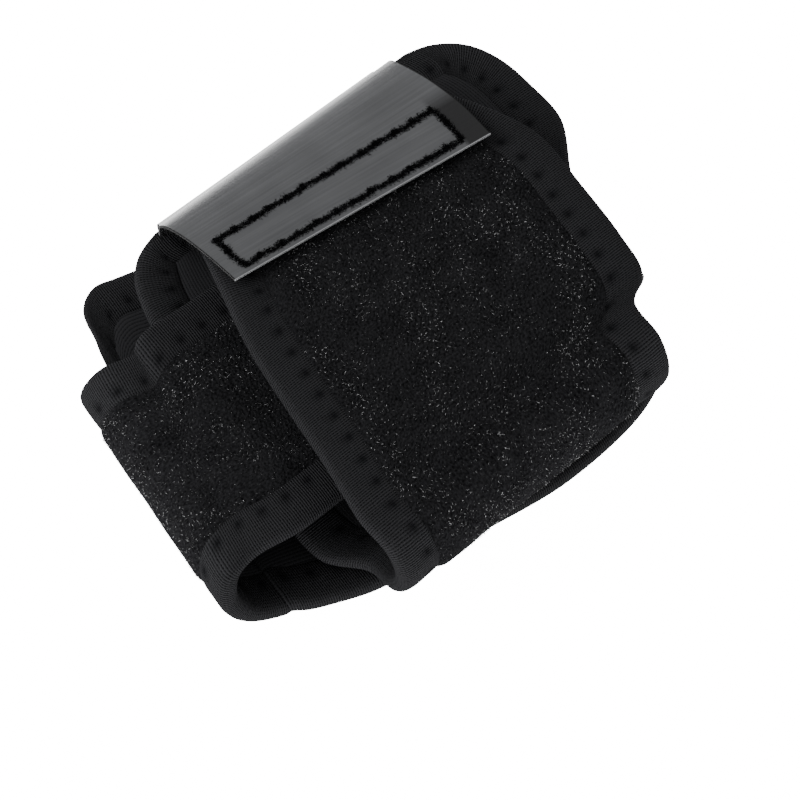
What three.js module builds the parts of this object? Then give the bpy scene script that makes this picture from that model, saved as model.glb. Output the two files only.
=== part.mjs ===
import * as THREE from 'three';
import { mergeVertices } from 'three/addons/utils/BufferGeometryUtils.js';

// All lengths in millimetres, +Z up. The brace lies folded flat on the floor.
// X runs along the foot loop's axis, Y across it, from its near fold to its far turn.
const bundleLength = 100;
const bundleDepth = 80;

const footStrapWidth = 62;
const ankleStrapWidth = 44;
const footTabWidth = 52;
const ankleTabWidth = 34;

const strapThickness = 2.4;
const tabThickness = 1.4;
const bindingWall = 1.0;
const bindingReach = 8;
const clearance = 0.35;
const footOpening = 5.3;

const strapHalf = strapThickness / 2;
const bindingHalf = strapHalf + clearance + bindingWall;
const strapInset = 1.6 * clearance + bindingWall;
const layerPitch = 2 * bindingHalf + clearance;
const tabPitch = tabThickness + 2 * clearance;

// Heights of the middle of each layer, from the floor up.
const ankleBackRise = tabThickness + clearance + bindingHalf;
const ankleBackLow = bindingHalf;
const ankleTabTop = ankleBackRise + bindingHalf + clearance + tabThickness / 2;
const footTabLow = ankleTabTop + tabPitch;
const footBackLow = ankleBackRise + layerPitch;
const footBackRise = footTabLow + tabThickness / 2 + clearance + bindingHalf;
const ankleFrontRise = footBackRise + layerPitch + clearance;
const footFrontRise = ankleFrontRise + layerPitch + footOpening;
const footTabRise = bindingHalf + 2 * clearance + tabThickness / 2;

const foldSteps = 4;
const stepsPerRow = 3;
const strapAcross = 6;
const tabAcross = 4;
const nearby = 0.002;
const lengthSamples = 400;
const endZone = 2 * bindingReach;
const steepest = 0.45;

// Sections along the foot strap, from its fastened front end round the near fold to its lobe.
// x, y: middle as shares of the bundle; width: share of the strap's; slant: degrees of the
// section line; rise: height of the middle; tilt: right edge above left; fold: height after a
// fold; spread and twist: width after a fold, and degrees turned over it.
const footRows = [
  { x: 0.365, y: 0.748, width: 0.80, slant: 0, rise: footFrontRise - 1.1, tilt: 0 },
  { x: 0.376, y: 0.636, width: 0.92, slant: -1, rise: footFrontRise, tilt: 0 },
  { x: 0.375, y: 0.497, width: 1.03, slant: 2, rise: footFrontRise, tilt: 0 },
  { x: 0.365, y: 0.344, width: 1.06, slant: 2, rise: footFrontRise - 0.3, tilt: 0.5 },
  { x: 0.348, y: 0.206, width: 1.05, slant: 1, rise: footFrontRise - 0.9, tilt: 1 },
  { x: 0.331, y: 0.119, width: 1.03, slant: 1, rise: footFrontRise - 1.9, tilt: 0.6 },
  { x: 0.312, y: 0.070, width: 0.985, slant: 3, rise: footFrontRise - 3.0, tilt: 0,
    fold: footBackLow, spread: 0.97 },
  { x: 0.288, y: 0.135, width: 1.04, slant: 2, rise: footBackLow + 0.1, tilt: 0 },
  { x: 0.300, y: 0.235, width: 1.10, slant: 2, rise: footBackRise - 1.2, tilt: 0 },
  { x: 0.333, y: 0.355, width: 1.18, slant: 3, rise: footBackRise, tilt: 0 },
  { x: 0.375, y: 0.490, width: 1.26, slant: 2, rise: footBackRise, tilt: 0 },
  { x: 0.405, y: 0.620, width: 1.33, slant: -1, rise: footBackRise, tilt: 0 },
  { x: 0.420, y: 0.735, width: 1.34, slant: -2, rise: footBackRise, tilt: 0 },
  { x: 0.420, y: 0.820, width: 1.28, slant: -1, rise: footBackRise, tilt: 0 },
  { x: 0.418, y: 0.874, width: 1.15, slant: 0, rise: footBackRise, tilt: 0 },
  { x: 0.417, y: 0.904, width: 0.94, slant: 1.5, rise: footBackRise, tilt: 0 },
];

// Sections along the ankle strap, from the end sewn on the lobe round the left fold to the right end.
const ankleRows = [
  { x: 0.600, y: 0.430, width: 0.80, slant: -90, rise: ankleFrontRise, tilt: 0 },
  { x: 0.560, y: 0.430, width: 1.00, slant: -90, rise: ankleFrontRise, tilt: 0 },
  { x: 0.300, y: 0.431, width: 1.02, slant: -90, rise: ankleFrontRise, tilt: 0 },
  { x: 0.070, y: 0.433, width: 1.03, slant: -93, rise: ankleFrontRise + 0.2, tilt: 0 },
  { x: -0.045, y: 0.436, width: 1.06, slant: -93, rise: ankleFrontRise - 0.2, tilt: -0.5 },
  { x: -0.095, y: 0.444, width: 1.05, slant: -98, rise: ankleFrontRise - 2.0, tilt: -1,
    fold: ankleBackLow + 0.5, spread: 1.24, twist: 6 },
  { x: -0.067, y: 0.482, width: 1.43, slant: -94, rise: ankleBackLow + 0.7, tilt: -1.2 },
  { x: -0.047, y: 0.502, width: 1.556, slant: -94, rise: ankleBackLow + 0.8, tilt: -1.3 },
  { x: -0.012, y: 0.506, width: 1.635, slant: -94, rise: ankleBackLow + 0.8, tilt: -1.3 },
  { x: 0.044, y: 0.486, width: 1.679, slant: -92, rise: ankleBackLow + 0.6, tilt: -0.9 },
  { x: 0.110, y: 0.474, width: 1.70, slant: -91, rise: ankleBackLow + 0.7, tilt: -0.6 },
  { x: 0.230, y: 0.457, width: 1.727, slant: -90, rise: ankleBackRise, tilt: 0 },
  { x: 0.400, y: 0.418, width: 1.664, slant: -90, rise: ankleBackRise, tilt: 0 },
  { x: 0.560, y: 0.403, width: 1.536, slant: -90, rise: ankleBackRise, tilt: 0 },
  { x: 0.630, y: 0.405, width: 1.436, slant: -90, rise: ankleBackRise, tilt: 0 },
  { x: 0.680, y: 0.404, width: 1.26, slant: -90, rise: ankleBackRise, tilt: 0 },
  { x: 0.705, y: 0.406, width: 1.02, slant: -90, rise: ankleBackRise, tilt: 0 },
];

// Sections along the foot hook tab: sewn part, over the far turn, flat under the lobe, rounded tip.
const footTabRows = [
  { x: 0.355, y: 0.588, width: 1.00, slant: 175, rise: footFrontRise + footTabRise, tilt: 0 },
  { x: 0.356, y: 0.670, width: 1.00, slant: 176, rise: footFrontRise + footTabRise - 0.2, tilt: 0 },
  { x: 0.358, y: 0.750, width: 1.00, slant: 178, rise: footFrontRise + footTabRise - 0.9, tilt: 0 },
  { x: 0.360, y: 0.818, width: 1.00, slant: 180, rise: footFrontRise - 1.3, tilt: 0 },
  { x: 0.365, y: 0.860, width: 0.99, slant: 180, rise: footFrontRise - 6.3, tilt: 0 },
  { x: 0.372, y: 0.898, width: 0.96, slant: 180, rise: footBackRise + 4.5, tilt: 0 },
  { x: 0.376, y: 0.928, width: 0.94, slant: 180, rise: footBackRise - 0.3, tilt: 0 },
  { x: 0.376, y: 0.900, width: 0.94, slant: 180, rise: footTabLow, tilt: 0 },
  { x: 0.376, y: 0.780, width: 0.94, slant: 180, rise: footTabLow, tilt: 0 },
  { x: 0.376, y: 0.560, width: 0.94, slant: 180, rise: footTabLow, tilt: 0 },
  { x: 0.376, y: 0.430, width: 0.76, slant: 180, rise: footTabLow, tilt: 0 },
  { x: 0.376, y: 0.385, width: 0.40, slant: 180, rise: footTabLow, tilt: 0 },
];

// Sections along the ankle hook tab: sewn part on the floor, round the strap's end, back over it.
const ankleTabRows = [
  { x: 0.560, y: 0.462, width: 1.00, slant: -90, rise: tabThickness / 2, tilt: 0 },
  { x: 0.700, y: 0.462, width: 1.00, slant: -90, rise: tabThickness / 2, tilt: 0 },
  { x: 0.718, y: 0.462, width: 1.00, slant: -90, rise: tabThickness / 2, tilt: 0, fold: ankleTabTop },
  { x: 0.600, y: 0.462, width: 1.00, slant: -90, rise: ankleTabTop, tilt: 0 },
  { x: 0.500, y: 0.462, width: 0.80, slant: -90, rise: ankleTabTop, tilt: 0 },
  { x: 0.460, y: 0.462, width: 0.40, slant: -90, rise: ankleTabTop, tilt: 0 },
];

// The two edge lines of a strap, as smooth curves through its sections.
function edgeCurves(rows, fullWidth) {
  const leftPoints = [];
  const rightPoints = [];
  for (const row of rows) {
    const folds = row.fold !== undefined;
    const drop = folds ? (row.rise - row.fold) / 2 : 0;
    for (let step = 0; step <= (folds ? foldSteps : 0); step += 1) {
      const turn = Math.PI * step / foldSteps;
      const slant = THREE.MathUtils.degToRad(row.slant + (row.twist ?? 0) * step / foldSteps);
      const across = new THREE.Vector3(Math.cos(slant), Math.sin(slant), 0);
      const outward = new THREE.Vector3(Math.sin(slant), -Math.cos(slant), 0);
      const height = folds ? row.fold + drop + drop * Math.cos(turn) : row.rise;
      const middle = new THREE.Vector3(row.x * bundleLength, row.y * bundleDepth, height);
      middle.addScaledVector(outward, folds ? drop * Math.sin(turn) : 0);
      const share = THREE.MathUtils.lerp(row.width, row.spread ?? row.width, step / foldSteps);
      const half = share * fullWidth / 2;
      const lift = new THREE.Vector3(0, 0, row.tilt / 2);
      leftPoints.push(middle.clone().addScaledVector(across, -half).sub(lift));
      rightPoints.push(middle.clone().addScaledVector(across, half).add(lift));
    }
  }
  return {
    left: new THREE.CatmullRomCurve3(leftPoints, false, 'centripetal'),
    right: new THREE.CatmullRomCurve3(rightPoints, false, 'centripetal'),
    steps: (leftPoints.length - 1) * stepsPerRow,
  };
}

// A strap's middle sheet. along and across run from 0 to 1; lift is the height over the sheet.
function makeSheet(rows, fullWidth) {
  const curves = edgeCurves(rows, fullWidth);
  const flat = (along, across) => {
    const left = curves.left.getPoint(along);
    return left.lerp(curves.right.getPoint(along), across);
  };
  // How far across the sheet to go, as a share, to be the given distance in from an edge.
  const shareIn = (along, edge, distance) => {
    const before = Math.max(along - 1 / curves.steps, 0);
    const after = Math.min(along + 1 / curves.steps, 1);
    const run = flat(after, edge).sub(flat(before, edge)).normalize();
    const span = flat(along, 1).sub(flat(along, 0));
    const width = span.length();
    const square = Math.max(run.cross(span).length() / width, steepest);
    return distance / (width * square);
  };
  const place = (along, across, lift) => {
    const before = Math.max(along - nearby, 0);
    const after = Math.min(along + nearby, 1);
    const forward = flat(after, across).sub(flat(before, across));
    const sideways = flat(along, 1).sub(flat(along, 0));
    const normal = forward.cross(sideways).normalize();
    return flat(along, across).addScaledVector(normal, lift);
  };
  const lengths = [0];
  for (let sample = 1; sample <= lengthSamples; sample += 1) {
    const step = flat((sample - 1) / lengthSamples, 0.5).distanceTo(flat(sample / lengthSamples, 0.5));
    lengths.push(lengths[sample - 1] + step);
  }
  const total = lengths[lengthSamples];
  const lengthAt = (along) => {
    const sample = Math.min(Math.floor(along * lengthSamples), lengthSamples - 1);
    return THREE.MathUtils.lerp(lengths[sample], lengths[sample + 1], along * lengthSamples - sample);
  };
  const alongAt = (length) => {
    const after = Math.max(lengths.findIndex((value) => value >= length), 1);
    const stretch = lengths[after] - lengths[after - 1];
    return (after - 1 + (length - lengths[after - 1]) / stretch) / lengthSamples;
  };
  // A point on the sheet with the whole outline drawn in by the distance. Only the two end
  // zones are squeezed along the strap, so its faces and its binding keep the same stations.
  const inset = (u, v, distance, lift) => {
    const squeeze = (endZone - distance) / endZone;
    let length = lengthAt(u);
    if (length < endZone) {
      length = distance + length * squeeze;
    } else if (length > total - endZone) {
      length = total - distance - (total - length) * squeeze;
    }
    const along = alongAt(Math.min(length, total));
    const leftShare = shareIn(along, 0, distance);
    const rightShare = shareIn(along, 1, distance);
    return place(along, leftShare + (1 - leftShare - rightShare) * v, lift);
  };
  return { inset, steps: curves.steps };
}

// Joins a grid of points into a closed skin; both directions wrap round when closed.
function skin(points, rows, columns, wrapRows) {
  const indices = [];
  const lastRow = wrapRows ? rows : rows - 1;
  for (let row = 0; row < lastRow; row += 1) {
    const next = (row + 1) % rows;
    for (let column = 0; column < columns; column += 1) {
      const beside = (column + 1) % columns;
      const near = [row * columns + column, row * columns + beside];
      const far = [next * columns + column, next * columns + beside];
      indices.push(near[0], far[1], near[1], near[0], far[0], far[1]);
    }
  }
  const geometry = new THREE.BufferGeometry();
  const places = points.flatMap((point) => [point.x, point.y, point.z]);
  geometry.setAttribute('position', new THREE.Float32BufferAttribute(places, 3));
  geometry.setIndex(indices);
  return geometry;
}

// A flat piece with two faces, from a box whose corners are moved onto the sheet.
function makeSlab(sheet, thickness, inset, acrossSteps) {
  const box = new THREE.BoxGeometry(1, 1, 1, sheet.steps, acrossSteps, 1);
  box.deleteAttribute('normal');
  box.deleteAttribute('uv');
  const slab = mergeVertices(box);
  const corner = slab.getAttribute('position');
  for (let index = 0; index < corner.count; index += 1) {
    const u = corner.getX(index) + 0.5;
    const v = corner.getY(index) + 0.5;
    const moved = sheet.inset(u, v, inset, corner.getZ(index) * thickness);
    corner.setXYZ(index, moved.x, moved.y, moved.z);
  }
  return slab;
}

// Profile of the binding: how far in from the outer edge, and how high over the middle sheet.
function bindingProfile() {
  const inner = strapHalf + clearance;
  const outer = bindingHalf;
  const upper = [
    [0, 0],
    [0.16 * bindingHalf, 0.62 * outer],
    [0.52 * bindingHalf, 0.93 * outer],
    [1.3 * bindingHalf, outer],
    [bindingReach, inner + 0.6 * bindingWall],
    [bindingReach, inner],
    [bindingWall, inner],
  ];
  const lower = upper.slice(1).reverse().map(([reach, height]) => [reach, -height]);
  return [...upper, ...lower];
}

// The binding goes once round the strap's outline as a closed ring.
function makeBinding(sheet, acrossSteps) {
  const walk = [];
  for (let k = 0; k < sheet.steps; k += 1) {
    walk.push([k / sheet.steps, 0]);
  }
  for (let k = 0; k < acrossSteps; k += 1) {
    walk.push([1, k / acrossSteps]);
  }
  for (let k = sheet.steps; k > 0; k -= 1) {
    walk.push([k / sheet.steps, 1]);
  }
  for (let k = acrossSteps; k > 0; k -= 1) {
    walk.push([0, k / acrossSteps]);
  }
  const profile = bindingProfile();
  const points = walk.flatMap(([u, v]) => profile.map(([reach, height]) => sheet.inset(u, v, reach, height)));
  return skin(points, walk.length, profile.length, true);
}

function addPart(group, name, geometry, slot, colour, roughness) {
  const material = new THREE.MeshStandardMaterial({ color: colour, roughness, metalness: 0 });
  material.name = slot;
  geometry.computeVertexNormals();
  const mesh = new THREE.Mesh(geometry, material);
  mesh.name = name;
  group.add(mesh);
}

// Puts the middle of the floor outline on the origin and the lowest point on the floor.
function settle(group) {
  const box = new THREE.Box3().setFromObject(group);
  const middle = box.getCenter(new THREE.Vector3());
  for (const mesh of group.children) {
    mesh.geometry.translate(-middle.x, -middle.y, -box.min.z);
  }
}

const brace = new THREE.Group();
brace.name = 'drop_foot_brace';

const footSheet = makeSheet(footRows, footStrapWidth);
const ankleSheet = makeSheet(ankleRows, ankleStrapWidth);
const footTabSheet = makeSheet(footTabRows, footTabWidth);
const ankleTabSheet = makeSheet(ankleTabRows, ankleTabWidth);

const footPad = makeSlab(footSheet, strapThickness, strapInset, strapAcross);
const footEdge = makeBinding(footSheet, strapAcross);
const footTab = makeSlab(footTabSheet, tabThickness, 0, tabAcross);
const anklePad = makeSlab(ankleSheet, strapThickness, strapInset, strapAcross);
const ankleEdge = makeBinding(ankleSheet, strapAcross);
const ankleTab = makeSlab(ankleTabSheet, tabThickness, 0, tabAcross);

addPart(brace, 'foot_strap', footPad, 'loop_pile', 0x1b1b1d, 0.95);
addPart(brace, 'foot_strap_binding', footEdge, 'knit_binding', 0x2a2a2d, 0.9);
addPart(brace, 'foot_hook_tab', footTab, 'hook_tape', 0x6a6b6e, 0.45);
addPart(brace, 'ankle_strap', anklePad, 'loop_pile_narrow', 0x1b1b1d, 0.95);
addPart(brace, 'ankle_strap_binding', ankleEdge, 'knit_binding_narrow', 0x2a2a2d, 0.9);
addPart(brace, 'ankle_hook_tab', ankleTab, 'hook_tape_small', 0x6a6b6e, 0.45);

settle(brace);

export default brace;
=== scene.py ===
# Drop foot brace, folded flat and fastened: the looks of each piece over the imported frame.
import math

import bmesh
import bpy
import numpy as np
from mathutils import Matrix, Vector


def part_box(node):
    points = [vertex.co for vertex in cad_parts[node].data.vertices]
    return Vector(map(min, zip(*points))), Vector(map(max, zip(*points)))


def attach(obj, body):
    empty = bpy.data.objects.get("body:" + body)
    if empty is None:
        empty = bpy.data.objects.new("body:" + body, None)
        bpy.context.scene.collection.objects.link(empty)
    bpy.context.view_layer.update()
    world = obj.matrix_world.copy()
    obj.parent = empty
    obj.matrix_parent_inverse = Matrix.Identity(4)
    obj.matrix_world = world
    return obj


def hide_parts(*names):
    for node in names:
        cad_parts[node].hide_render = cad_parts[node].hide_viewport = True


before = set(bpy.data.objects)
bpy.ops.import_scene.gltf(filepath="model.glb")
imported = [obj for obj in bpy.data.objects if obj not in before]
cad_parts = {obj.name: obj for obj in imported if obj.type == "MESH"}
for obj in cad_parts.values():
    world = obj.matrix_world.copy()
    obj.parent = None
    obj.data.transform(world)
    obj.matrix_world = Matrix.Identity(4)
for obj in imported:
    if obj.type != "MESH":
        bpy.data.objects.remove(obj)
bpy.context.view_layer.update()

# The folded bundle in millimetres, as the solids have it.
bundle = {
    "length": 100, "depth": 80, "strap": 2.4, "tab": 1.4, "wall": 1.0, "clearance": 0.35, "footOpening": 5.3,
}
strapHalf = bundle["strap"] / 2
bindingHalf = strapHalf + bundle["clearance"] + bundle["wall"]
layerPitch = 2 * bindingHalf + bundle["clearance"]

# Heights of the middle of each layer, from the floor up.
levels = {"floor": bundle["tab"] / 2, "ankleLow": bindingHalf}
levels["ankleBack"] = bundle["tab"] + bundle["clearance"] + bindingHalf
levels["ankleTabTop"] = levels["ankleBack"] + bindingHalf + bundle["clearance"] + bundle["tab"] / 2
levels["footTabLow"] = levels["ankleTabTop"] + bundle["tab"] + 2 * bundle["clearance"]
levels["footLow"] = levels["ankleBack"] + layerPitch
levels["footBack"] = levels["footTabLow"] + bundle["tab"] / 2 + bundle["clearance"] + bindingHalf
levels["ankleFront"] = levels["footBack"] + layerPitch + bundle["clearance"]
levels["footFront"] = levels["ankleFront"] + layerPitch + bundle["footOpening"]
levels["footTabTop"] = levels["footFront"] + bindingHalf + 2 * bundle["clearance"] + bundle["tab"] / 2

# Sections along each strap. x, y: middle as shares of the bundle; width: share of the strap's;
# slant: degrees; level and rise: height of the middle; tilt: right edge above left. A fold row
# also has the level and rise after the fold, and how the width spreads and the strap twists.
footStrap = {
    "width": 62, "slot": "loop_pile", "bindingSlot": "knit_binding", "seed": 11,
    "rows": [
        (0.365, 0.748, 0.80, 0, "footFront", -1.1, 0),
        (0.376, 0.636, 0.92, -1, "footFront", 0, 0),
        (0.375, 0.497, 1.03, 2, "footFront", 0, 0),
        (0.362, 0.344, 1.05, 2, "footFront", -0.3, 0.5),
        (0.350, 0.206, 1.052, 1, "footFront", -0.9, 1),
        (0.338, 0.116, 1.050, 1.5, "footFront", -1.9, 0.6),
        (0.314, 0.066, 0.995, 3.5, "footFront", -3.0, 0, "footLow", 0, 0.955, 0),
        (0.290, 0.135, 1.03, 3, "footLow", 0.1, 0),
        (0.300, 0.235, 1.10, 2, "footBack", -1.2, 0),
        (0.333, 0.355, 1.18, 3, "footBack", 0, 0),
        (0.375, 0.490, 1.26, 2, "footBack", 0, 0),
        (0.409, 0.620, 1.308, -1, "footBack", 0, 0),
        (0.414, 0.720, 1.303, -1, "footBack", 0, 0),
        (0.417, 0.804, 1.268, 0.5, "footBack", 0, 0),
        (0.415, 0.874, 1.19, 1, "footBack", 0, 0),
        (0.409, 0.919, 1.06, 1.5, "footBack", 0, 0),
        (0.407, 0.940, 0.885, 1.5, "footBack", 0, 0),
    ],
}
ankleStrap = {
    "width": 44, "slot": "loop_pile_narrow", "bindingSlot": "knit_binding_narrow", "seed": 23,
    "rows": [
        (0.600, 0.430, 0.80, -90, "ankleFront", 0, 0),
        (0.560, 0.430, 1.00, -90, "ankleFront", 0, 0),
        (0.300, 0.431, 1.02, -90, "ankleFront", 0, 0),
        (0.070, 0.433, 1.03, -93, "ankleFront", 0.2, 0),
        (-0.045, 0.432, 1.03, -93, "ankleFront", -0.2, -0.5),
        (-0.093, 0.435, 0.98, -101.5, "ankleFront", -2.0, -1, "ankleLow", 0.5, 1.21, 7.5),
        (-0.072, 0.484, 1.40, -95.5, "ankleLow", 0.7, -1.2),
        (-0.051, 0.510, 1.565, -94.5, "ankleLow", 0.8, -1.3),
        (-0.012, 0.513, 1.655, -94, "ankleLow", 0.8, -1.3),
        (0.044, 0.494, 1.69, -92, "ankleLow", 0.6, -0.9),
        (0.110, 0.479, 1.685, -91, "ankleLow", 0.7, -0.6),
        (0.230, 0.460, 1.71, -90, "ankleBack", 0, 0),
        (0.400, 0.422, 1.648, -90, "ankleBack", 0, 0),
        (0.560, 0.407, 1.52, -90, "ankleBack", 0, 0),
        (0.630, 0.409, 1.42, -90, "ankleBack", 0, 0),
        (0.680, 0.404, 1.26, -90, "ankleBack", 0, 0),
        (0.705, 0.406, 1.02, -90, "ankleBack", 0, 0),
    ],
}
footTab = {
    "width": 52, "slot": "hook_tape", "seed": 31,
    "rows": [
        (0.361, 0.580, 0.985, 175, "footTabTop", 0, 0),
        (0.358, 0.670, 0.995, 176, "footTabTop", -0.2, 0),
        (0.350, 0.750, 0.99, 178, "footTabTop", -0.7, 0),
        (0.341, 0.805, 0.98, 180, "footTabTop", -1.6, 0),
        (0.338, 0.832, 0.975, 181.5, "footFront", 0.9, 0),
        (0.343, 0.852, 0.965, 182, "footFront", -3.5, 0),
        (0.362, 0.890, 0.95, 182, "footBack", 6.0, 0),
        (0.379, 0.934, 0.92, 181.5, "footBack", 1.6, 0),
        (0.383, 0.947, 0.91, 181, "footBack", -0.6, 0),
        (0.381, 0.914, 0.92, 180, "footTabLow", 0, 0),
        (0.376, 0.780, 0.94, 180, "footTabLow", 0, 0),
        (0.376, 0.560, 0.94, 180, "footTabLow", 0, 0),
        (0.376, 0.430, 0.76, 180, "footTabLow", 0, 0),
        (0.376, 0.385, 0.40, 180, "footTabLow", 0, 0),
    ],
}
ankleTab = {
    "width": 34, "slot": "hook_tape_small", "seed": 37,
    "rows": [
        (0.560, 0.462, 1.00, -90, "floor", 0, 0),
        (0.700, 0.462, 1.00, -90, "floor", 0, 0),
        (0.718, 0.462, 1.00, -90, "floor", 0, 0, "ankleTabTop", 0, 1, 0),
        (0.600, 0.462, 1.00, -90, "ankleTabTop", 0, 0),
        (0.500, 0.462, 0.80, -90, "ankleTabTop", 0, 0),
        (0.460, 0.462, 0.40, -90, "ankleTabTop", 0, 0),
    ],
}


# How a sheet follows its sections: points in a fold, places read along it, how far from square its
# edge may run, the length in mm over which that is evened out, and how near an end it is squeezed.
sheetLook = {"foldSteps": 4, "places": 3001, "placesPerStep": 3, "steepest": 0.45, "evened": 5, "endZone": 16}


# The two edge lines of a strap through its sections, each fold a half turn.
def edgePoints(rows, fullWidth):
    left, right = [], []
    for row in rows:
        x, y, width, slant, level, rise, tilt, *fold = row
        top = levels[level] + rise
        low, spread, twist = (levels[fold[0]] + fold[1], fold[2], fold[3]) if fold else (top, width, 0)
        drop = (top - low) / 2
        steps = sheetLook["foldSteps"] if fold else 0
        for step in range(steps + 1):
            share = step / steps if steps else 0
            turn = math.pi * share
            angle = math.radians(slant + twist * share)
            across = Vector((math.cos(angle), math.sin(angle), 0))
            outward = Vector((math.sin(angle), -math.cos(angle), 0))
            height = low + drop + drop * math.cos(turn)
            middle = Vector((x * bundle["length"], y * bundle["depth"], height))
            middle += outward * (drop * math.sin(turn))
            half = (width + (spread - width) * share) * fullWidth / 2
            lift = Vector((0, 0, tilt / 2))
            left.append(middle - across * half - lift)
            right.append(middle + across * half + lift)
    return np.array(left), np.array(right)


# A centripetal Catmull-Rom curve through the points, read at even shares of its spans.
def smoothCurve(points, count):
    ends = np.vstack([2 * points[0] - points[1], points, 2 * points[-1] - points[-2]])
    spot = np.linspace(0, len(points) - 1, count)
    span = np.minimum(spot.astype(int), len(points) - 2)
    part = (spot - span)[:, None]
    a, b, c, d = (ends[span + k] for k in range(4))
    ab, bc, cd = (np.linalg.norm(q - p, axis=1)[:, None] ** 0.5 for p, q in ((a, b), (b, c), (c, d)))
    leave = ((b - a) / ab - (c - a) / (ab + bc) + (c - b) / bc) * bc
    arrive = ((c - b) / bc - (d - b) / (bc + cd) + (d - c) / cd) * bc
    square, cube = part * part, part * part * part
    bend = (-3 * b + 3 * c - 2 * leave - arrive) * square + (2 * b - 2 * c + leave + arrive) * cube
    return b + leave * part + bend


# A strap's middle sheet. Lengths and heights are in millimetres, shares run from 0 to 1.
class Sheet:
    def __init__(self, strap):
        count = sheetLook["places"]
        left, right = edgePoints(strap["rows"], strap["width"])
        self.left, self.right = smoothCurve(left, count), smoothCurve(right, count)
        middle = (self.left + self.right) / 2
        steps = np.linalg.norm(np.diff(middle, axis=0), axis=1)
        self.lengths = np.concatenate([[0], np.cumsum(steps)])
        self.total = self.lengths[-1]
        self.spots = np.linspace(0, 1, count)
        self.leftRun, self.rightRun = np.gradient(self.left, axis=0), np.gradient(self.right, axis=0)
        span = self.right - self.left
        self.width = np.linalg.norm(span, axis=1)
        reach = max(1, int(count / ((len(left) - 1) * sheetLook["placesPerStep"])))
        self.square = []
        for rail in (self.left, self.right):
            after = np.minimum(np.arange(count) + reach, count - 1)
            before = np.maximum(np.arange(count) - reach, 0)
            run = rail[after] - rail[before]
            run /= np.linalg.norm(run, axis=1)[:, None]
            across = np.linalg.norm(np.cross(run, span), axis=1) / self.width
            across = np.maximum(across, sheetLook["steepest"])
            around = int(count * sheetLook["evened"] / self.total)
            padded = np.pad(across, around, mode="edge")
            self.square.append(np.convolve(padded, np.ones(2 * around + 1) / (2 * around + 1), "valid"))

    def read(self, values, along):
        if values.ndim == 1:
            return np.interp(along, self.spots, values)
        return np.stack([np.interp(along, self.spots, values[:, k]) for k in range(3)], axis=-1)

    # Points at a share of the length and of the width, drawn in from the outline and lifted.
    def at(self, u, v, distance=0.0, lift=0.0):
        u, v, distance, lift = (np.asarray(a, float) for a in np.broadcast_arrays(u, v, distance, lift))
        zone = sheetLook["endZone"]
        squeeze = (zone - distance) / zone
        length = u * self.total
        length = np.where(length < zone, distance + length * squeeze, length)
        past = self.total - u * self.total
        length = np.where(past < zone, self.total - distance - past * squeeze, length)
        along = np.interp(length, self.lengths, self.spots)
        width = self.read(self.width, along)
        leftShare = distance / (width * self.read(self.square[0], along))
        rightShare = distance / (width * self.read(self.square[1], along))
        across = (leftShare + (1 - leftShare - rightShare) * v)[..., None]
        left, right = self.read(self.left, along), self.read(self.right, along)
        run = self.read(self.leftRun, along) * (1 - across) + self.read(self.rightRun, along) * across
        normal = np.cross(run, right - left)
        normal /= np.linalg.norm(normal, axis=-1)[..., None]
        return left + (right - left) * across + normal * lift[..., None]

    # How far in from the outline a spot of a face lies whose own outline is drawn in by tuck.
    def depth(self, u, v, tuck):
        width = self.read(self.width, np.interp(u * self.total, self.lengths, self.spots))
        fromSide = np.minimum(v, 1 - v) * (width - 2 * tuck)
        fromEnd = np.minimum(u, 1 - u) * self.total
        return tuck + np.minimum(fromSide, fromEnd)


footSheet, ankleSheet = Sheet(footStrap), Sheet(ankleStrap)
footTabSheet, ankleTabSheet = Sheet(footTab), Sheet(ankleTab)


# Where the plan's zero lies in the frame: the small hook tab's form over its solid's box.
def planShift():
    edge, half = np.linspace(0, 1, 400), bundle["tab"] / 2
    outline = np.vstack([ankleTabSheet.at(edge, side, 0, face) for side in (0, 1) for face in (-half, half)])
    low, high = (np.array(corner) * 1000 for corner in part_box("ankle_hook_tab"))
    shift = (low + high) / 2 - (outline.min(axis=0) + outline.max(axis=0)) / 2
    shift[2] = low[2]
    return shift


shift = planShift()
print("plan shift in mm", shift.round(3))


def toFrame(points):
    return (points + shift) / 1000


# Noise that repeats each run: nine smooth waves added up, about 1 high, for a softly uneven surface.
def unevenness(x, y, seed, pitch):
    rng = np.random.default_rng(seed)
    total = np.zeros(np.broadcast(x, y).shape)
    for _ in range(9):
        angle, phase = rng.uniform(0, math.tau), rng.uniform(0, math.tau)
        size = pitch * rng.uniform(0.6, 1.6)
        total += np.sin((x * math.cos(angle) + y * math.sin(angle)) * math.tau / size + phase)
    return total / 4


def makeObject(name, mesh, material):
    piece = bpy.data.objects.new(name, mesh)
    bpy.context.scene.collection.objects.link(piece)
    mesh.materials.append(material)
    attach(piece, "root")
    return piece


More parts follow.
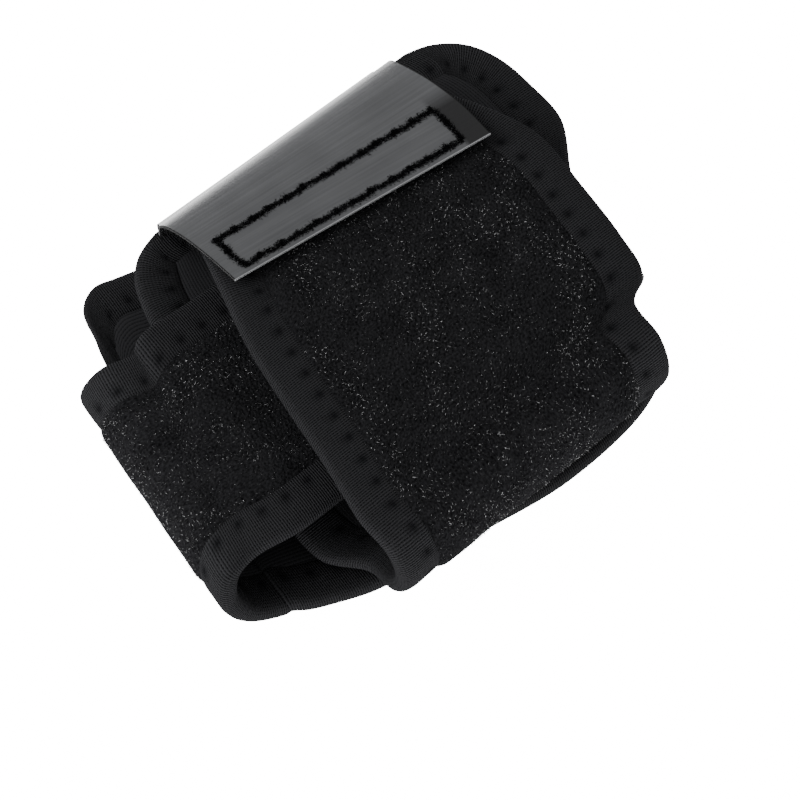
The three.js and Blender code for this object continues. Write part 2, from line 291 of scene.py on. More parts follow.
# Turns a grid mesh whose vertices hold (along, across, layer) into the piece's own form. Its UV map
# holds the pattern's own place in mm, and stitchPit how deep in a stitch's dimple a point lies, which
# the knit uses for painted shade.
def formPiece(name, form, place, pattern, material, marks=None):
    mesh = bpy.data.meshes.new(name)
    uvLayer = form.loops.layers.uv.new("pattern")
    markLayer = form.verts.layers.float.new("stitchPit")
    form.verts.index_update()
    spots = np.array([tuple(vert.co) for vert in form.verts])
    places = pattern(spots)
    for face in form.faces:
        face.smooth = True
        for loop in face.loops:
            loop[uvLayer].uv = places[loop.vert.index]
    pits = marks(spots) if marks else np.zeros(len(spots))
    for vert, point, pit in zip(form.verts, toFrame(place(spots)), pits):
        vert.co = point
        vert[markLayer] = pit
    bmesh.ops.remove_doubles(form, verts=form.verts, dist=0.000002)
    bmesh.ops.recalc_face_normals(form, faces=form.faces)
    if form.calc_volume(signed=True) < 0:
        bmesh.ops.reverse_faces(form, faces=form.faces)
    form.to_mesh(mesh)
    form.free()
    return makeObject(name, mesh, material)


# A closed slab in (along, across, layer): along and across from 0 to 1, layer 0 or 1.
def slabForm(alongCells, acrossCells):
    form = bmesh.new()
    bmesh.ops.create_grid(form, x_segments=alongCells, y_segments=acrossCells, size=0.5)
    bmesh.ops.translate(form, verts=form.verts, vec=(0.5, 0.5, 0))
    made = bmesh.ops.extrude_face_region(form, geom=list(form.faces))
    top = [item for item in made["geom"] if isinstance(item, bmesh.types.BMVert)]
    bmesh.ops.translate(form, verts=top, vec=(0, 0, 1))
    return form


print("sheets ready", round(footSheet.total, 1), round(ankleSheet.total, 1))


# An sRGB hex value as the linear colour that the shaders take.
def linear(hexColour):
    values = [int(hexColour[k:k + 2], 16) / 255 for k in (1, 3, 5)]
    return [v / 12.92 if v <= 0.04045 else ((v + 0.055) / 1.055) ** 2.4 for v in values] + [1]


# A node with its settings (colour stops, sockets or properties) and its links.
def addNode(tree, kind, settings=None, links=None):
    node = tree.nodes.new(kind)
    for key, value in (settings or {}).items():
        if key == "stops":
            for element, (position, colour) in zip(node.color_ramp.elements, value):
                element.position, element.color = position, linear(colour)
        elif isinstance(key, int) or key in node.inputs:
            node.inputs[key].default_value = value
        else:
            setattr(node, key, value)
    for key, source in (links or {}).items():
        tree.links.new(source, node.inputs[key])
    return node


def newMaterial(name, shader):
    material = bpy.data.materials.new(name)
    material.use_nodes = True
    tree = material.node_tree
    surface = tree.nodes["Principled BSDF"]
    for key, value in shader.items():
        surface.inputs[key].default_value = value
    return material, tree, surface


# Brushed nylon loop pile: near black and dead matt, fine curled loops that gather in soft clumps.
def loopPileMaterial():
    material, tree, surface = newMaterial("brushed nylon loop pile", {
        "Roughness": 1.0, "Specular IOR Level": 0.0})
    loopPitch, clumpPitch, hairPitch = 0.55, 5.0, 0.45  # mm
    uv = addNode(tree, "ShaderNodeUVMap", {"uv_map": "pattern"})
    cloth = {"Vector": uv.outputs["UV"]}
    loops = addNode(tree, "ShaderNodeTexVoronoi", {"Scale": 1 / loopPitch, "Randomness": 1.0}, cloth)
    clumps = addNode(tree, "ShaderNodeTexNoise", {"Scale": 1 / clumpPitch, "Detail": 4.0}, cloth)
    hairs = addNode(tree, "ShaderNodeTexNoise", {"Scale": 1 / hairPitch, "Detail": 2.0}, cloth)
    shade = addNode(tree, "ShaderNodeMath", {"operation": "MULTIPLY_ADD", 1: 0.35},
                    {0: clumps.outputs["Fac"], 2: hairs.outputs["Fac"]})
    colour = addNode(tree, "ShaderNodeValToRGB", {"stops": [(0.46, "#131314"), (0.88, "#323234")]},
                     {"Fac": shade.outputs[0]})
    tree.links.new(colour.outputs["Color"], surface.inputs["Base Color"])
    height = addNode(tree, "ShaderNodeMath", {"operation": "SUBTRACT"},
                     {0: hairs.outputs["Fac"], 1: loops.outputs["Distance"]})
    bump = addNode(tree, "ShaderNodeBump", {"Strength": 1.0, "Distance": 0.0003},
                   {"Height": height.outputs[0]})
    tree.links.new(bump.outputs["Normal"], surface.inputs["Normal"])
    return material


# Knitted polyester: fine ribs across the edge, dark grey and dull, with random fuzzy tone, and painted
# shade between the ribs and in the stitches' dimples.
def knitMaterial(name, light, dark, ribPitch, strength):
    material, tree, surface = newMaterial(name, {"Roughness": 1.0, "Specular IOR Level": 0.0})
    coursePitch, wobblePitch, fuzzPitch = 0.6, 3.0, 0.35  # mm
    waveScale = math.tau / 20  # a wave texture has one band a unit at this scale
    uv = addNode(tree, "ShaderNodeUVMap", {"uv_map": "pattern"})
    cloth = {"Vector": uv.outputs["UV"]}
    wobble = addNode(tree, "ShaderNodeTexNoise", {"Scale": 1 / wobblePitch, "Detail": 2.0}, cloth)
    bent = addNode(tree, "ShaderNodeVectorMath", {"operation": "MULTIPLY_ADD", 1: (0.25, 0.25, 0)},
                   {0: wobble.outputs["Color"], 2: uv.outputs["UV"]})
    ribs = addNode(tree, "ShaderNodeTexWave", {
        "wave_type": "BANDS", "bands_direction": "X", "Scale": waveScale / ribPitch, "Distortion": 0.0},
        {"Vector": bent.outputs[0]})
    courses = addNode(tree, "ShaderNodeTexWave", {
        "wave_type": "BANDS", "bands_direction": "Y", "Scale": waveScale / coursePitch, "Distortion": 1.2,
        "Detail": 1.0}, cloth)
    fuzz = addNode(tree, "ShaderNodeTexNoise", {"Scale": 1 / fuzzPitch, "Detail": 3.0}, cloth)
    knitted = addNode(tree, "ShaderNodeMath", {"operation": "MULTIPLY_ADD", 1: 0.22},
                      {0: courses.outputs["Fac"], 2: ribs.outputs["Fac"]})
    # Random fuzzy tone, plus painted shade in the grooves between the ribs and courses.
    fuzzAndRibShade = addNode(tree, "ShaderNodeMath", {"operation": "MULTIPLY_ADD", 1: 0.9},
                   {0: fuzz.outputs["Fac"], 2: knitted.outputs[0]})
    colour = addNode(tree, "ShaderNodeValToRGB", {"stops": [(0.45, dark), (1.3, light)]},
                     {"Fac": fuzzAndRibShade.outputs[0]})
    # The stitches' dimples are painted darker, as shade.
    pit = addNode(tree, "ShaderNodeAttribute", {"attribute_name": "stitchPit"})
    shaded = addNode(tree, "ShaderNodeMix", {"data_type": "RGBA", 7: linear("#1b1b1d")},
                     {"Factor": pit.outputs["Fac"], 6: colour.outputs["Color"]})
    tree.links.new(shaded.outputs[2], surface.inputs["Base Color"])
    bump = addNode(tree, "ShaderNodeBump", {"Strength": strength, "Distance": 0.00022},
                   {"Height": knitted.outputs[0]})
    tree.links.new(bump.outputs["Normal"], surface.inputs["Normal"])
    return material


# Moulded polyamide hook tape, seen on its smooth back: satin grey with fine lines along it from the
# mould, a painted highlight on the cut end, sides painted dark as shade and made dull, and on the big
# tab a corner beside the seam painted dark as shade.
def hookTapeMaterial(name, tapeWidth, paintedCornerShade):
    material, tree, surface = newMaterial(name, {"Roughness": 0.36, "IOR": 1.53, "Specular IOR Level": 0.5})
    linePitch, smudgePitch = 0.5, 9.0  # mm
    cornerShadeWide, cornerShadeStart, sideWide, cutHighlightWide = (3.9, 4.8), (8.5, 12.0), (0.3, 0.1), (0.1, 0.22)  # mm
    uv = addNode(tree, "ShaderNodeUVMap", {"uv_map": "pattern"})
    place = addNode(tree, "ShaderNodeSeparateXYZ", links={"Vector": uv.outputs["UV"]})
    drawn = addNode(tree, "ShaderNodeMapping", {"Scale": (0.02, 1, 1)}, {"Vector": uv.outputs["UV"]})
    lines = addNode(tree, "ShaderNodeTexNoise", {"Scale": 1 / linePitch, "Detail": 3.0},
                    {"Vector": drawn.outputs["Vector"]})
    smudge = addNode(tree, "ShaderNodeTexNoise", {"Scale": 1 / smudgePitch, "Detail": 2.0},
                     {"Vector": uv.outputs["UV"]})
    both = addNode(tree, "ShaderNodeMath", {"operation": "MULTIPLY_ADD", 1: 0.5},
                   {0: smudge.outputs["Fac"], 2: lines.outputs["Fac"]})
    grey = addNode(tree, "ShaderNodeValToRGB", {"stops": [(0.35, "#505153"), (1.0, "#68696b")]},
                   {"Fac": both.outputs[0]})
    colour = grey.outputs["Color"]
    # On the big tab the corner right of the box of stitches is painted dark, as shade.
    if paintedCornerShade:
        beside = addNode(tree, "ShaderNodeMapRange", {
            "From Min": cornerShadeWide[0], "From Max": cornerShadeWide[1], "To Min": 1.0, "To Max": 0.0},
            {"Value": place.outputs["X"]})
        above = addNode(tree, "ShaderNodeMapRange", {
            "From Min": cornerShadeStart[0], "From Max": cornerShadeStart[1], "To Min": 1.0, "To Max": 0.0},
            {"Value": place.outputs["Y"]})
        corner = addNode(tree, "ShaderNodeMath", {"operation": "MULTIPLY"},
                         {0: beside.outputs[0], 1: above.outputs[0]})
        shaded = addNode(tree, "ShaderNodeMix", {"data_type": "RGBA", 7: linear("#1c1c1e")},
                         {"Factor": corner.outputs[0], 6: colour})
        colour = shaded.outputs[2]
    # Near the side edges the colour is painted dark as shade, and further down they are made rough, so no lit
    # rim shows.
    fromMiddle = addNode(tree, "ShaderNodeMath", {"operation": "SUBTRACT", 1: tapeWidth / 2},
                         {0: place.outputs["X"]})
    away = addNode(tree, "ShaderNodeMath", {"operation": "ABSOLUTE"}, {0: fromMiddle.outputs[0]})
    atSide = addNode(tree, "ShaderNodeMapRange", {
        "From Min": tapeWidth / 2 - sideWide[0], "From Max": tapeWidth / 2 - sideWide[1]},
        {"Value": away.outputs[0]})
    sided = addNode(tree, "ShaderNodeMix", {"data_type": "RGBA", 7: linear("#141415")},
                    {"Factor": atSide.outputs[0], 6: colour})
    # A thin painted highlight along the tape's cut end, where its edge catches the light.
    cutHighlight = addNode(tree, "ShaderNodeMapRange", {
        "From Min": cutHighlightWide[0], "From Max": cutHighlightWide[1], "To Min": 1.0, "To Max": 0.0},
        {"Value": place.outputs["Y"]})
    cut = addNode(tree, "ShaderNodeMix", {"data_type": "RGBA", 7: linear("#a6a7a9")},
                  {"Factor": cutHighlight.outputs[0], 6: sided.outputs[2]})
    tree.links.new(cut.outputs[2], surface.inputs["Base Color"])
    rough = addNode(tree, "ShaderNodeMapRange", {"To Min": 0.3, "To Max": 0.5},
                    {"Value": lines.outputs["Fac"]})
    dull = addNode(tree, "ShaderNodeMath", {"operation": "MAXIMUM"},
                   {0: rough.outputs[0], 1: atSide.outputs[0]})
    tree.links.new(dull.outputs[0], surface.inputs["Roughness"])
    bump = addNode(tree, "ShaderNodeBump", {"Strength": 0.35, "Distance": 0.0001},
                   {"Height": lines.outputs["Fac"]})
    tree.links.new(bump.outputs["Normal"], surface.inputs["Normal"])
    return material


# Single fibres, each as bright as its own shine says: pile ends with painted glints in pale colour,
# black spun thread, and stiff black moulded hooks.
def fibreMaterial(name, dark, bright, roughness, gloss):
    material, tree, surface = newMaterial(name, {"Roughness": roughness, "Specular IOR Level": gloss})
    shine = addNode(tree, "ShaderNodeAttribute", {"attribute_name": "shine"})
    colour = addNode(tree, "ShaderNodeValToRGB", {"stops": [(0.0, dark), (1.0, bright)]},
                     {"Fac": shine.outputs["Fac"]})
    tree.links.new(colour.outputs["Color"], surface.inputs["Base Color"])
    return material


pileCloth = loopPileMaterial()
ribKnit = knitMaterial("ribbed elastic knit", "#3d3d3f", "#111112", 0.42, 0.9)
jerseyKnit = knitMaterial("plain jersey knit", "#373739", "#212123", 0.45, 0.25)
hookTape = hookTapeMaterial("moulded polyamide hook tape", footTab["width"], True)
smallHookTape = hookTapeMaterial("moulded polyamide hook tape, narrow", ankleTab["width"], False)
pileFibre = fibreMaterial("crimped nylon pile fibre", "#141415", "#f0f0f2", 0.6, 0.3)
blackThread = fibreMaterial("spun black polyester thread", "#08080a", "#222224", 1.0, 0.0)
hookBristle = fibreMaterial("moulded black polyamide hooks", "#0a0a0b", "#242426", 0.8, 0.05)
print("materials ready")


# Cells along and across a strap, which flares to more than its named width.
def cellCounts(strap, sheet, cell):
    return round(sheet.total / cell), round(strap["width"] * 1.15 / cell)


# Where a cloth's pattern lies, in mm across it and along it.
def clothPattern(strap, sheet):
    return lambda spots: np.stack([spots[:, 1] * strap["width"], spots[:, 0] * sheet.total], axis=1)


# The pile in mm: it stands proud between the bindings, and starts to rise that far from the edge.
pileLook = {
    "cell": 0.75, "thickness": 1.3, "swell": 0.12, "swellPitch": 17, "tuck": 2.0, "proud": 1.15,
    "riseFrom": 6.3, "riseOver": 3.2,
}


# The cloth between the bindings is plumper than the part that they grip.
def plumpness(depth):
    share = np.clip((depth - pileLook["riseFrom"]) / pileLook["riseOver"], 0, 1)
    return share * share * (3 - 2 * share)


# How high the pile stands over the middle of its sheet.
def pileHeight(strap, sheet, u, v, tuck):
    swell = unevenness(u * sheet.total, v * strap["width"], strap["seed"], pileLook["swellPitch"])
    rise = plumpness(sheet.depth(u, v, tuck))
    return strapHalf + rise * pileLook["proud"] + pileLook["swell"] * swell * (0.3 + 0.7 * rise)


# The pile layer: from just inside the binding's edge, its outer face swelling softly.
def makePile(strap, sheet, name):
    tuck = pileLook["tuck"]

    def place(spots):
        along, across, layer = spots.T
        outer = pileHeight(strap, sheet, along, across, tuck)
        return sheet.at(along, across, tuck, np.where(layer > 0.5, outer, strapHalf - pileLook["thickness"]))

    form = slabForm(*cellCounts(strap, sheet, pileLook["cell"]))
    return formPiece(name, form, place, clothPattern(strap, sheet), pileCloth)


# The lining in mm: a hair below the pile, swelling softly inwards between the bindings.
liningLook = {"cell": 1.2, "gap": 0.02, "swell": 0.1, "swellPitch": 14, "tuck": 2.0, "proud": 0.6}


# The jersey layer under the pile, which shows on the inner faces.
def makeLining(strap, sheet, name):
    top = strapHalf - pileLook["thickness"] - liningLook["gap"]
    tuck, pitch = liningLook["tuck"], liningLook["swellPitch"]

    def place(spots):
        along, across, layer = spots.T
        swell = unevenness(along * sheet.total, across * strap["width"], strap["seed"] + 1, pitch)
        rise = plumpness(sheet.depth(along, across, tuck))
        inner = -strapHalf - liningLook["proud"] * rise + liningLook["swell"] * swell
        return sheet.at(along, across, tuck, np.where(layer > 0.5, top, inner))

    form = slabForm(*cellCounts(strap, sheet, liningLook["cell"]))
    return formPiece(name, form, place, clothPattern(strap, sheet), jerseyKnit)


# The binding in mm: its stitches pull dimples in a line that far from the edge, and between that
# line and the edge it is softly ridged and wavy.
bindingLook = {
    "cell": 0.55, "stitchPitch": 4.5, "stitchReach": 5.6, "pucker": 0.2, "puckerWide": 0.8, "puckerDeep": 0.9,
    "ridge": 0.05, "ridgeReach": 4.2, "ridgeWide": 1.2, "wave": 0.05, "wavePitch": 13,
}


# Shares once round a strap's outline: along and across at even spacing, in millimetres.
def outlineWalk(sheet, strap, cell):
    alongCount, acrossCount = round(sheet.total / cell), round(strap["width"] / cell)
    along, across = np.arange(alongCount) / alongCount, np.arange(acrossCount) / acrossCount
    ones, noughts = np.ones_like, np.zeros_like
    u = np.concatenate([along, ones(across), 1 - along, noughts(across)])
    v = np.concatenate([noughts(along), across, ones(along), 1 - across])
    return np.append(u, u[0]), np.append(v, v[0])


# The binding's section: how far in from the edge and how high, from the under side's inner line
# round the puffy edge to the upper side's inner line, and back inside.
def bindingSection():
    inner = strapHalf + 0.03
    upper = [(0, 0), (0.06, 0.6), (0.28, 1.16), (0.72, 1.58), (1.4, 1.8), (2.5, 1.9), (3.7, 1.92), (4.8, 1.9),
             (5.7, 1.86), (6.5, 1.8), (7.2, 1.72), (7.8, 1.5), (8.0, inner), (4.0, inner - 0.05),
             (1.1, inner - 0.15)]
    lower = [(reach, -height) for reach, height in reversed(upper[1:])]
    return np.array(upper + lower)


# The ribbon of ribbed knit folded round a strap's edge, swept along its outline.
def makeBinding(strap, sheet, name):
    look = bindingLook
    u, v = outlineWalk(sheet, strap, look["cell"])
    section = bindingSection()
    section = np.vstack([section, section[:1]])
    edge = sheet.at(u, v, 3.0, 0.0)
    run = np.concatenate([[0], np.cumsum(np.linalg.norm(np.diff(edge, axis=0), axis=1))])
    around = np.concatenate([[0], np.cumsum(np.linalg.norm(np.diff(section, axis=0), axis=1))])
    pitch = run[-1] / round(run[-1] / look["stitchPitch"])
    form = bmesh.new()
    bmesh.ops.create_grid(form, x_segments=len(u) - 1, y_segments=len(section) - 1, size=0.5)
    bmesh.ops.translate(form, verts=form.verts, vec=(0.5, 0.5, 0))

    def stationAndTurn(spots):
        station = np.rint(spots[:, 0] * (len(u) - 1)).astype(int)
        return station, np.rint(spots[:, 1] * (len(section) - 1)).astype(int)

    def stitchPits(spots):
        station, turn = stationAndTurn(spots)
        fromStitch = (run[station] % pitch) - pitch / 2
        pit = np.exp(-(fromStitch / look["puckerWide"]) ** 2)
        line = np.exp(-((section[turn, 0] - look["stitchReach"]) / look["puckerDeep"]) ** 2)
        return pit, line

    def place(spots):
        station, turn = stationAndTurn(spots)
        reach, height = section[turn, 0], section[turn, 1]
        pit, line = stitchPits(spots)
        ridge = np.exp(-((reach - look["ridgeReach"]) / look["ridgeWide"]) ** 2) * (0.5 - pit) * look["ridge"]
        wave = unevenness(run[station], reach * 3, strap["seed"] + 2, look["wavePitch"]) * look["wave"]
        puff = -np.sign(height) * (look["pucker"] * pit * line - ridge - wave * (np.abs(height) > 1.3))
        puff = np.where((np.abs(height) > 1.25) & (reach < 7.9), puff, 0)
        return sheet.at(u[station], v[station], reach, height + puff)

    def pattern(spots):
        station, turn = stationAndTurn(spots)
        return np.stack([run[station], around[turn]], axis=1)

    def marks(spots):
        return np.prod(stitchPits(spots), axis=0)

    return formPiece(name, form, place, pattern, ribKnit, marks)


# Thin closed spikes with three sides: roots, tips and widths in millimetres, one shine each. They
# are built from arrays, because an operator for each of some ten thousand takes minutes.
def makeSpikes(name, roots, tips, widths, shines, material):
    count = len(roots)
    aim = tips - roots
    aim /= np.linalg.norm(aim, axis=1)[:, None]
    side = np.cross(aim, np.where(np.abs(aim[:, 2:3]) < 0.9, [[0, 0, 1.0]], [[1.0, 0, 0]]))
    side /= np.linalg.norm(side, axis=1)[:, None]
    other = np.cross(aim, side)
    corners = []
    for k in range(3):
        turn = math.tau * k / 3
        corners.append(roots + (side * math.cos(turn) + other * math.sin(turn)) * widths[:, None] / 2)
    points = toFrame(np.stack([*corners, tips], axis=1).reshape(-1, 3))
    base = np.arange(count)[:, None] * 4
    sides = [base + corner for corner in ([0, 2, 1], [0, 1, 3], [1, 2, 3], [2, 0, 3])]
    faces = np.concatenate(sides, axis=1).reshape(-1, 3)
    mesh = bpy.data.meshes.new(name)
    mesh.from_pydata(points.tolist(), [], faces.tolist())
    shine = mesh.attributes.new("shine", "FLOAT", "POINT")
    shine.data.foreach_set("value", np.repeat(shines, 4).astype(np.float32))
    return makeObject(name, mesh, material)


# Pile ends in mm: clear of the binding by the tuck, sunk a little, and leaning more than standing.
fuzzLook = {
    "perSquareMm": 2.9, "length": (0.2, 0.55), "width": (0.06, 0.12), "brightShare": 0.6, "tuck": 6.9,
    "sunk": 0.05, "upright": 0.45, "leastUpright": 0.15,
}


# Pile ends standing off the outer face, most of them dark and some catching the light.
def makeFuzz(strap, sheet, name):
    look = fuzzLook
    rng = np.random.default_rng(strap["seed"] + 5)
    area = sheet.total * strap["width"] * 1.1
    count = int(area * look["perSquareMm"])
    u, v = rng.uniform(0, 1, count), rng.uniform(0, 1, count)
    height = pileHeight(strap, sheet, u, v, look["tuck"]) - look["sunk"]
    roots = sheet.at(u, v, look["tuck"], height)
    length = rng.uniform(*look["length"], count)
    lean = rng.normal(0, 1, (count, 3))
    normal = sheet.at(u, v, look["tuck"], height + 1) - roots
    aim = normal * look["upright"] + lean / np.linalg.norm(lean, axis=1)[:, None]
    aim += normal * np.maximum(0, look["leastUpright"] - (aim * normal).sum(axis=1))[:, None]
    aim /= np.linalg.norm(aim, axis=1)[:, None]
    # The bright share of the pile ends get pale colour, as painted glints.
    shines = np.where(rng.uniform(0, 1, count) < look["brightShare"], rng.uniform(0, 1, count) ** 2, 0)
    widths = rng.uniform(*look["width"], count)
    return makeSpikes(name, roots, roots + aim * length[:, None], widths, shines, pileFibre)


# The tape in mm: a smooth skin over the hooks, with a crisp edge at its cut ends and sides.
tabLook = {"cell": 0.8, "skin": 0.42, "sharpAngle": 35}


def makeTab(strap, sheet, name, material):
    form = slabForm(round(sheet.total / tabLook["cell"]), round(strap["width"] / tabLook["cell"]))
    half = bundle["tab"] / 2

    def place(spots):
        along, across, layer = spots.T
        return sheet.at(along, across, 0.0, np.where(layer > 0.5, half, half - tabLook["skin"]))

    tape = formPiece(name, form, place, clothPattern(strap, sheet), material)
    tape.data.set_sharp_from_angle(angle=math.radians(tabLook["sharpAngle"]))
    return tape


# The hooks in mm: a coarse field under the skin, and a finer fringe that peeks out at its sides.
# The two stray values are shares of the tab's length.
hookLook = {
    "rowPitch": 1.1, "alongPitch": 1.0, "width": 0.34, "edgePitch": 0.22, "edgeWidth": 0.13,
    "stray": 0.0012, "edgeStray": 0.0008, "tipStray": 0.09,
}


# Rows of stiff hooks on the tab's inner face, black where they peek out at its side edges.
def makeHooks(strap, sheet, name):
    look = hookLook
    rng = np.random.default_rng(strap["seed"])
    alongCount = round(sheet.total / look["alongPitch"])
    acrossCount = round(strap["width"] / look["rowPitch"])
    u, v = np.meshgrid(np.linspace(0.01, 0.99, alongCount), np.linspace(0.01, 0.99, acrossCount))
    u, v = u.ravel(), v.ravel()
    u = np.clip(u + rng.normal(0, look["stray"], len(u)), 0, 1)
    low, skin = -bundle["tab"] / 2, bundle["tab"] / 2 - tabLook["skin"]
    roots = sheet.at(u, v, 0.1, skin + 0.05)
    tips = sheet.at(u, v, 0.1, np.full(len(u), low) - 0.05) + rng.normal(0, look["tipStray"], (len(u), 3))
    edgeCount = round(sheet.total / look["edgePitch"])
    along = np.tile(np.linspace(0.005, 0.995, edgeCount), 2) + rng.normal(0, look["edgeStray"], 2 * edgeCount)
    side = np.repeat([0.0, 1.0], edgeCount)
    along = np.clip(along, 0, 1)
    edgeRoots = sheet.at(along, side, 0.2, skin + 0.1)
    outside = -rng.uniform(0.1, 0.6, 2 * edgeCount)
    edgeTips = sheet.at(along, side, outside, low - rng.uniform(-0.3, 0.3, 2 * edgeCount))
    roots, tips = np.vstack([roots, edgeRoots]), np.vstack([tips, edgeTips])
    widths = np.concatenate([np.full(len(u), look["width"]), np.full(2 * edgeCount, look["edgeWidth"])])
    return makeSpikes(name, roots, tips, widths, rng.uniform(0, 0.6, len(widths)), hookBristle)


# The seam in mm: the box's sides from the tape's cut end and right edge, the band of thread along
# them with its fibres, and the tufts at the knots.
seamLook = {
    "near": 1.6, "far": 8.9, "right": 4.5, "left": 48.9, "perMm": 95, "bandHalf": 0.5, "height": 0.4,
    "length": (0.4, 0.9), "width": (0.07, 0.14), "wander": 0.12, "wanderPitch": 5.0, "tuftPitch": 3.7,
    "tuftStray": 0.25, "tuftFibres": 85, "tuftWide": 0.3, "tuftAside": 0.32, "tuftReach": 0.8,
}


# The box of black stitches that holds the tab: a band of spun thread, with a tuft at each knot.
def makeSeam(strap, sheet, name):
    look = seamLook
    rng = np.random.default_rng(strap["seed"] + 7)
    near, far, right, left = (look[key] for key in ("near", "far", "right", "left"))
    corners = np.array([(near, right), (far, right), (far, left), (near, left), (near, right)])
    sides = np.linalg.norm(np.diff(corners, axis=0), axis=1)
    reach = np.concatenate([[0], np.cumsum(sides)])
    tufts = np.arange(0, reach[-1], look["tuftPitch"])
    tufts = tufts + rng.normal(0, look["tuftStray"], len(tufts))
    spread = rng.uniform(0, reach[-1], int(reach[-1] * look["perMm"]))
    where = np.concatenate([spread, np.repeat(tufts, look["tuftFibres"])]) % reach[-1]
    count = len(where)
    isTuft = np.arange(count) >= len(spread)
    along, across = (np.interp(where, reach, corners[:, k]) for k in (0, 1))
    wander = look["wander"] * unevenness(where, 0 * where, strap["seed"], look["wanderPitch"])
    spreadWide = np.where(isTuft, look["tuftWide"], look["bandHalf"] / 1.6)
    offset = rng.normal(0, 1, (count, 2)) * spreadWide[:, None]
    along = along + wander + offset[:, 0] + np.where(isTuft, look["tuftAside"], 0)
    across = across + wander + offset[:, 1]
    crown = np.exp(-(offset ** 2).sum(axis=1) / 0.3)
    lift = bundle["tab"] / 2 + rng.uniform(0, 1, count) * look["height"] * crown
    length = rng.uniform(*look["length"], count) * np.where(isTuft, look["tuftReach"], 1)
    turn = rng.uniform(0, math.tau, count)
    u, v = along / sheet.total, across / strap["width"]
    roots = sheet.at(u, v, 0, lift - 0.03)
    tipU = u + np.cos(turn) * length * 0.6 / sheet.total
    tipV = v + np.sin(turn) * length * 0.6 / strap["width"]
    tips = sheet.at(np.clip(tipU, 0, 1), tipV, 0, lift + rng.uniform(-0.1, 0.5, count) * length)
    widths = rng.uniform(*look["width"], count)
    return makeSpikes(name, roots, tips, widths, rng.uniform(0, 1, count) ** 2, blackThread)


footPile = makePile(footStrap, footSheet, "foot_pile")
footLining = makeLining(footStrap, footSheet, "foot_lining")
footEdge = makeBinding(footStrap, footSheet, "foot_edge_binding")
footFuzz = makeFuzz(footStrap, footSheet, "foot_pile_ends")
anklePile = makePile(ankleStrap, ankleSheet, "ankle_pile")
ankleLining = makeLining(ankleStrap, ankleSheet, "ankle_lining")
ankleEdge = makeBinding(ankleStrap, ankleSheet, "ankle_edge_binding")
ankleFuzz = makeFuzz(ankleStrap, ankleSheet, "ankle_pile_ends")
footTape = makeTab(footTab, footTabSheet, "foot_tape", hookTape)
makeHooks(footTab, footTabSheet, "foot_tape_hooks")
makeSeam(footTab, footTabSheet, "foot_tape_seam")
ankleTape = makeTab(ankleTab, ankleTabSheet, "ankle_tape", smallHookTape)
makeHooks(ankleTab, ankleTabSheet, "ankle_tape_hooks")

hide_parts("foot_strap")
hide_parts("foot_strap_binding")
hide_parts("ankle_strap")
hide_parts("ankle_strap_binding")
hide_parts("foot_hook_tab")
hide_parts("ankle_hook_tab")
print("pieces ready")


# The area of a sheet's curved middle, in square metres, from the sides of a fine net's cells.
def sheetArea(sheet, tuck):
    u, v = np.meshgrid(np.linspace(0, 1, 200), np.linspace(0, 1, 40), indexing="ij")
    net = sheet.at(u, v, tuck, 0.0)
    alongSide, acrossSide = net[1:, :-1] - net[:-1, :-1], net[:-1, 1:] - net[:-1, :-1]
    return float(np.linalg.norm(np.cross(alongSide, acrossSide), axis=-1).sum()) / 1e6


# Works out the area of each cloth's middle sheet, and does nothing further with it.
def declareSheets():
    for piece, sheet, pieces in (
            (footPile, footSheet, [footEdge, footFuzz]), (anklePile, ankleSheet, [ankleEdge, ankleFuzz]),
            (footLining, footSheet, []), (ankleLining, ankleSheet, [])):
        area = sheetArea(sheet, pileLook["tuck"])


declareSheets()

# The picture's scale at the aim point, and the photograph's pixel where the plan's zero lies.
view = {
    "azimuth": 39, "elevation": 60, "distance": 1100, "pixelsPerMm": 5.96, "aim": (28, 32, 15),
    "zeroPixel": (371, 615), "framePixels": 800, "sensor": 36,
}


# The camera looks at the bundle at the photograph's angle, from far off.
def makeCamera():
    azimuth, elevation = math.radians(view["azimuth"]), math.radians(view["elevation"])
    flat = math.cos(elevation)
    forward = Vector((math.sin(azimuth) * flat, math.cos(azimuth) * flat, -math.sin(elevation)))
    right = Vector((math.cos(azimuth), -math.sin(azimuth), 0))
    up = right.cross(forward)
    camera = bpy.data.cameras.new("camera")
    eye = bpy.data.objects.new("camera", camera)
    aim = Vector(view["aim"])
    middlePixel = view["framePixels"] / 2
    aside = (view["zeroPixel"][0] - middlePixel) / view["pixelsPerMm"] + aim.dot(right)
    above = (middlePixel - view["zeroPixel"][1]) / view["pixelsPerMm"] + aim.dot(up)
    place = aim - forward * view["distance"] - right * aside - up * above
    eye.rotation_euler = forward.to_track_quat("-Z", "Y").to_euler()
    eye.location = toFrame(np.array(place))
    camera.sensor_width = view["sensor"]
    camera.lens = view["sensor"] * view["pixelsPerMm"] * view["distance"] / view["framePixels"]
    camera.clip_end = 20
    bpy.context.scene.collection.objects.link(eye)
    bpy.context.scene.camera = eye


makeCamera()

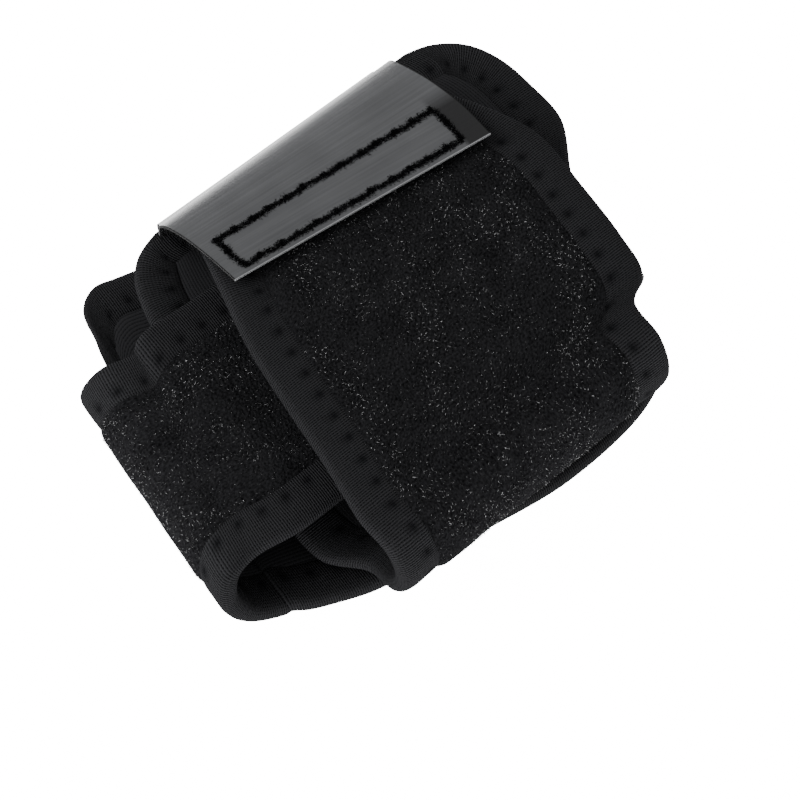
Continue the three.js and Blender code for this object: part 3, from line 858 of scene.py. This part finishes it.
# Three white planes in one place, in metres. The table that the camera sees is so bright that it is
# pure white, the card gives soft shine, and the paper throws soft light back.
studio = {
    "floorSize": 6.0, "white": "#fafafa", "sky": 0.44,
    "planes": [
        {"name": "lit_table", "finish": "lit white table", "glow": 16.0, "drop": 0.0,
         "unseenBy": ["visible_diffuse", "visible_glossy", "visible_shadow"]},
        {"name": "reflector_card", "finish": "white reflector card", "glow": 5.0, "drop": 0.0001,
         "unseenBy": ["visible_camera", "visible_diffuse", "visible_shadow"]},
        {"name": "paper", "finish": "matt white paper", "glow": 1.5, "drop": 0.0002,
         "unseenBy": ["visible_camera", "visible_glossy"]},
    ],
    "softboxes": [
        {"name": "far softbox", "place": (0.35, 1.1, 0.55), "size": (1.4, 0.8), "power": 0.8},
        {"name": "left softbox", "place": (-0.9, 0.5, 1.0), "size": (0.8, 0.8), "power": 9},
    ],
}


def makePlane(name, finish, glow, drop, unseenBy):
    material = newMaterial(finish, {
        "Roughness": 1.0, "Specular IOR Level": 0.0, "Base Color": linear(studio["white"]),
        "Emission Color": (1, 1, 1, 1), "Emission Strength": glow})[0]
    form = bmesh.new()
    bmesh.ops.create_grid(form, x_segments=1, y_segments=1, size=studio["floorSize"] / 2)
    bmesh.ops.translate(form, verts=form.verts, vec=(0, 0, -drop))
    mesh = bpy.data.meshes.new(name)
    form.to_mesh(mesh)
    form.free()
    mesh.materials.append(material)
    floor = bpy.data.objects.new(name, mesh)
    bpy.context.scene.collection.objects.link(floor)
    for kind in unseenBy:
        setattr(floor, kind, False)


# Even white light from all round.
def makeSky():
    world = bpy.data.worlds.new("studio")
    bpy.context.scene.world = world
    world.use_nodes = True
    background = world.node_tree.nodes["Background"]
    background.inputs["Color"].default_value = (1, 1, 1, 1)
    background.inputs["Strength"].default_value = studio["sky"]


# A soft lamp that looks at the bundle.
def makeSoftbox(name, place, size, power):
    lamp = bpy.data.lights.new(name, "AREA")
    lamp.shape = "RECTANGLE"
    lamp.size, lamp.size_y = size
    lamp.energy = power
    holder = bpy.data.objects.new(name, lamp)
    holder.location = place
    holder.rotation_euler = (Vector((0, 0, 0.02)) - Vector(place)).to_track_quat("-Z", "Y").to_euler()
    bpy.context.scene.collection.objects.link(holder)


for plane in studio["planes"]:
    makePlane(**plane)
makeSky()
for softbox in studio["softboxes"]:
    makeSoftbox(**softbox)
print("studio ready")
